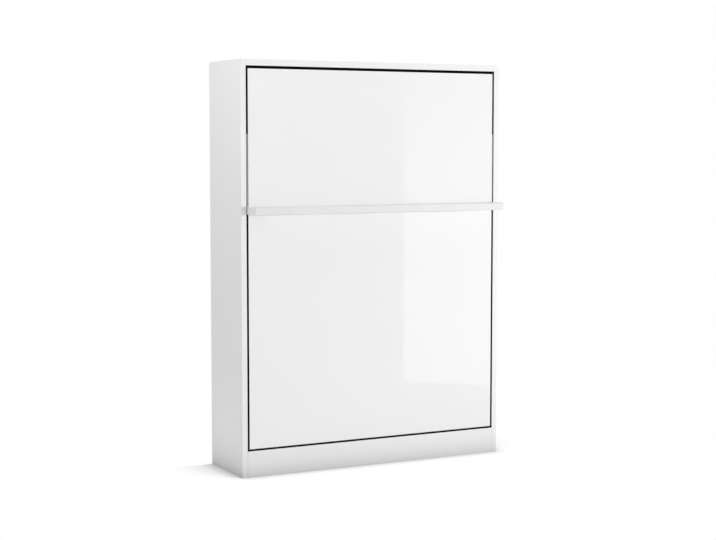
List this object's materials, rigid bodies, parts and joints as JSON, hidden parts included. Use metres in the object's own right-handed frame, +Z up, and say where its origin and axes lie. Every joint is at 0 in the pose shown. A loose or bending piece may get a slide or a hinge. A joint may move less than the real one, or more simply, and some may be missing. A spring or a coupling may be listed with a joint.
{
  "type": "cabinet bed",
  "caption": "White upright cabinet whose gloss front folds down as a double bed, with a foot bar across the front that stays level and becomes the leg.",
  "frame": {"origin": "on the floor, in the middle of the footprint, foot bar included", "axes": "+X to the right seen from the front, +Y into the wall, +Z up"},
  "size_m": [1.566, 0.531, 2.18],
  "materials": {
    "white_board": "satin",
    "white_hardboard": "matte",
    "white_plastic": "satin",
    "gloss_front": "gloss",
    "white_powder_coat": "satin",
    "black_edging": "matte",
    "black_plastic": "satin",
    "rubber": "matte",
    "zinc_steel": "satin",
    "bright_steel": "satin",
    "chrome": "polished",
    "black_enamel": "gloss",
    "pine": "matte",
    "beech_slat": "satin",
    "mattress_ticking": "matte",
    "strap_webbing": "matte"
  },
  "bodies": {
    "cabinet": {"left_side_panel": "white_board", "right_side_panel": "white_board", "top_panel": "white_board", "plinth_panel": "white_board", "rear_top_rail": "white_board", "rear_bottom_rail": "white_board", "left_back_panel": "white_hardboard", "right_back_panel": "white_hardboard", "back_joint_strip": "white_plastic", "gap_seals": "black_edging", "top_stop_rail": "black_edging", "stop_buffers": "rubber", "left_pivot_plate": "zinc_steel", "right_pivot_plate": "zinc_steel", "left_pivot_pin": "bright_steel", "right_pivot_pin": "bright_steel", "left_strut_bracket": "zinc_steel", "right_strut_bracket": "zinc_steel", "cabinet_screws": "bright_steel", "cam_fittings": "bright_steel"},
    "bed": {"front_panel": "gloss_front", "front_edge_band": "black_edging", "left_side_board": "white_board", "right_side_board": "white_board", "head_board": "white_board", "foot_board": "white_board", "panel_angles": "zinc_steel", "left_batten": "pine", "right_batten": "pine", "centre_beam": "pine", "left_slats": "beech_slat", "right_slats": "beech_slat", "slat_holders": "black_plastic", "mattress": "mattress_ticking", "mattress_straps": "strap_webbing", "strap_buckles": "black_plastic", "left_bed_plate": "zinc_steel", "right_bed_plate": "zinc_steel", "pivot_bushes": "black_plastic", "left_leg_bracket": "zinc_steel", "right_leg_bracket": "zinc_steel", "leg_pivot_pins": "bright_steel", "bed_screws": "bright_steel"},
    "foot_frame": {"foot_bar": "white_powder_coat", "left_leg_arm": "white_powder_coat", "right_leg_arm": "white_powder_coat", "foot_pads": "white_plastic"},
    "left_link": {"left_link_rod": "zinc_steel"},
    "left_cylinder": {"left_strut_cylinder": "black_enamel"},
    "left_piston": {"left_strut_rod": "chrome"},
    "right_link": {"right_link_rod": "zinc_steel"},
    "right_cylinder": {"right_strut_cylinder": "black_enamel"},
    "right_piston": {"right_strut_rod": "chrome"}
  },
  "joints": [
    {"name": "bed_fold", "type": "hinge", "parent": "cabinet", "child": "bed", "pos_m": [0, -0.09249, 0.39004], "axis": [1, 0, 0], "range_deg": [0, 90]},
    {"name": "foot_frame_swing", "type": "hinge", "parent": "bed", "child": "foot_frame", "pos_m": [0, -0.10153, 1.758], "axis": [-1, 0, 0], "range_deg": [0, 90]},
    {"name": "left_link_swing", "type": "hinge", "parent": "cabinet", "child": "left_link", "pos_m": [-0.73325, -0.11049, 0.37204], "axis": [1, 0, 0], "range_deg": [0, 90]},
    {"name": "left_strut_swing", "type": "hinge", "parent": "cabinet", "child": "left_cylinder", "pos_m": [-0.736, -0.00649, 0.65004], "axis": [1, 0, 0], "range_deg": [0, 22.77]},
    {"name": "left_strut_stroke", "type": "slide", "parent": "left_cylinder", "child": "left_piston", "axis": [0, 0.2133, 0.977], "range_m": [0, 0.13888]},
    {"name": "right_link_swing", "type": "hinge", "parent": "cabinet", "child": "right_link", "pos_m": [0.73325, -0.11049, 0.37204], "axis": [1, 0, 0], "range_deg": [0, 90]},
    {"name": "right_strut_swing", "type": "hinge", "parent": "cabinet", "child": "right_cylinder", "pos_m": [0.736, -0.00649, 0.65004], "axis": [1, 0, 0], "range_deg": [0, 22.77]},
    {"name": "right_strut_stroke", "type": "slide", "parent": "right_cylinder", "child": "right_piston", "axis": [0, 0.2133, 0.977], "range_m": [0, 0.13888]}
  ],
  "couplings": [
    {"joint": "foot_frame_swing", "follows": "bed_fold", "ratio": 1},
    {"joint": "left_link_swing", "follows": "bed_fold", "ratio": 1},
    {"joint": "left_strut_swing", "follows": "bed_fold", "ratio": 0.25303},
    {"joint": "left_strut_stroke", "follows": "bed_fold", "m_per_rad": 0.088416},
    {"joint": "right_link_swing", "follows": "bed_fold", "ratio": 1},
    {"joint": "right_strut_swing", "follows": "bed_fold", "ratio": 0.25303},
    {"joint": "right_strut_stroke", "follows": "bed_fold", "m_per_rad": 0.088416}
  ]
}
